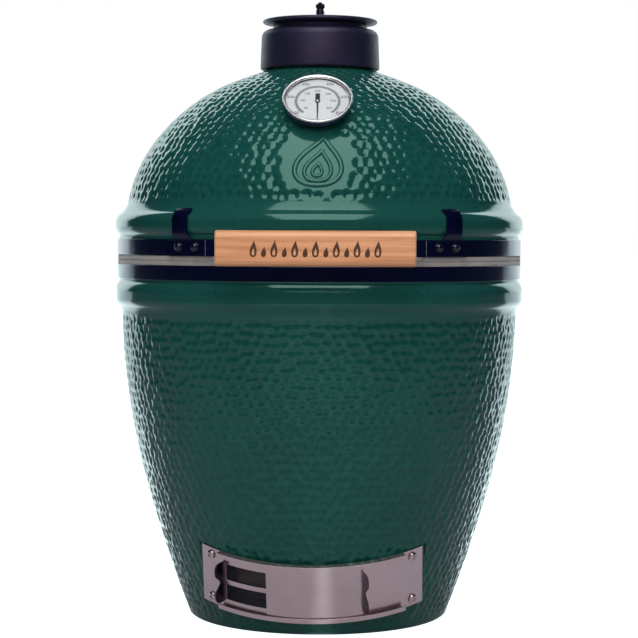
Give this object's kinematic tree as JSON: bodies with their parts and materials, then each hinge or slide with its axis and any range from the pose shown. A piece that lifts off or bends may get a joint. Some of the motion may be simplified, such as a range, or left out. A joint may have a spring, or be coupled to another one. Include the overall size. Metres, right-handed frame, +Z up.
{
  "type": "kamado ceramic grill",
  "caption": "Ovoid ceramic charcoal grill with a hinged dimpled dome, wooden handle, dial thermometer, top damper cap and sliding draft door.",
  "frame": {"origin": "centre of the flat foot of the lower shell, on the axis of the shells, at the level of the surface it stands on", "axes": "+Z up along the axis of the shells; the front, with the handle and the draft door, faces -Y; the lid hinge is at +Y; +X is to the right as seen from the front"},
  "size_m": [0.553, 0.669, 0.84],
  "materials": {
    "glaze": "deep green glaze over a dimpled surface, gloss",
    "fireclay": "matt, rough",
    "felt": "grey pressed felt",
    "black_steel": "black powder coat, satin",
    "black_bolt": "black oxide, semi-gloss",
    "spring_steel": "drawn wire",
    "stainless": "brushed along its length",
    "cast_iron": "rough casting",
    "cap_black": "black coated casting, satin",
    "wood": "light hardwood, oiled, long grain",
    "dial_white": "white print",
    "needle_black": "matt black",
    "lens_glass": "clear",
    "silicone": "matt"
  },
  "bodies": {
    "base": {"draft_frame": "stainless", "draft_screw_left_lower": "stainless", "draft_screw_left_upper": "stainless", "draft_screw_right_lower": "stainless", "draft_screw_right_upper": "stainless", "base_shell": "glaze", "base_gasket": "felt", "firebox": "fireclay", "fire_ring": "fireclay", "charcoal_grate": "cast_iron", "cooking_grid": "stainless", "lower_band": "black_steel", "lower_hinge_bracket": "black_steel", "lower_band_bolt_left": "black_bolt", "lower_band_nut_left": "black_bolt", "lower_band_bolt_right": "black_bolt", "lower_band_nut_right": "black_bolt", "hinge_pin": "black_bolt", "hinge_pin_nut": "black_bolt", "hinge_spacer": "black_bolt", "hinge_spring_left": "spring_steel", "hinge_spring_right": "spring_steel"},
    "dome": {"thermometer_case": "stainless", "thermometer_dial": "dial_white", "thermometer_lens": "lens_glass", "thermometer_probe": "stainless", "thermometer_clip": "spring_steel", "dome_shell": "glaze", "dome_gasket": "felt", "upper_band": "black_steel", "upper_hinge_bracket": "black_steel", "upper_band_bolt_left": "black_bolt", "upper_band_nut_left": "black_bolt", "upper_band_bolt_right": "black_bolt", "upper_band_nut_right": "black_bolt", "handle_bar": "wood", "handle_bracket_left": "black_steel", "handle_screw_left": "black_bolt", "handle_bracket_right": "black_steel", "handle_screw_right": "black_bolt", "bracket_rivet_left_outer": "black_bolt", "bracket_rivet_left_inner": "black_bolt", "bracket_rivet_right_outer": "black_bolt", "bracket_rivet_right_inner": "black_bolt", "cap_collar": "cap_black", "cap_gasket": "felt", "cap_hinge_pin": "black_bolt"},
    "cap_lid": {"cap_lid": "cap_black", "damper_stud": "black_bolt", "damper_nut": "black_bolt", "damper_spring": "spring_steel"},
    "damper": {"damper_disc": "cap_black", "damper_grip": "silicone"},
    "needle": {"thermometer_needle": "needle_black"},
    "slider": {"draft_slider": "stainless"},
    "screen": {"draft_screen": "stainless", "draft_gauze": "stainless"}
  },
  "joints": [
    {"name": "dome_hinge", "type": "hinge", "parent": "base", "child": "dome", "pos_m": [0, 0.312, 0.4886], "axis": [-1, 0, 0], "range_deg": [0, 75], "stiffness_Nm_per_rad": 18, "springref_deg": 108.86, "deforming": ["hinge_spring_left", "hinge_spring_right"]},
    {"name": "cap_lid_hinge", "type": "hinge", "parent": "dome", "child": "cap_lid", "pos_m": [0, 0.089, 0.7995], "axis": [-1, 0, 0], "range_deg": [0, 95]},
    {"name": "damper_spin", "type": "hinge", "parent": "cap_lid", "child": "damper", "pos_m": [0, 0, 0.813], "axis": [0, 0, 1], "range_deg": [0, 36]},
    {"name": "needle_spin", "type": "hinge", "parent": "dome", "child": "needle", "pos_m": [0, -0.19463, 0.6822], "axis": [0, 0.7157, -0.6984], "range_deg": [0, 340]},
    {"name": "draft_slide", "type": "hinge", "parent": "base", "child": "slider", "pos_m": [-0.00013, -0.00374, 0.13214], "axis": [-0.0119, -0.3418, 0.9397], "range_deg": [-16.4, 15.5]},
    {"name": "screen_slide", "type": "hinge", "parent": "base", "child": "screen", "pos_m": [-0.00013, -0.00374, 0.13214], "axis": [-0.0119, -0.3418, 0.9397], "range_deg": [0, 16.5]}
  ]
}
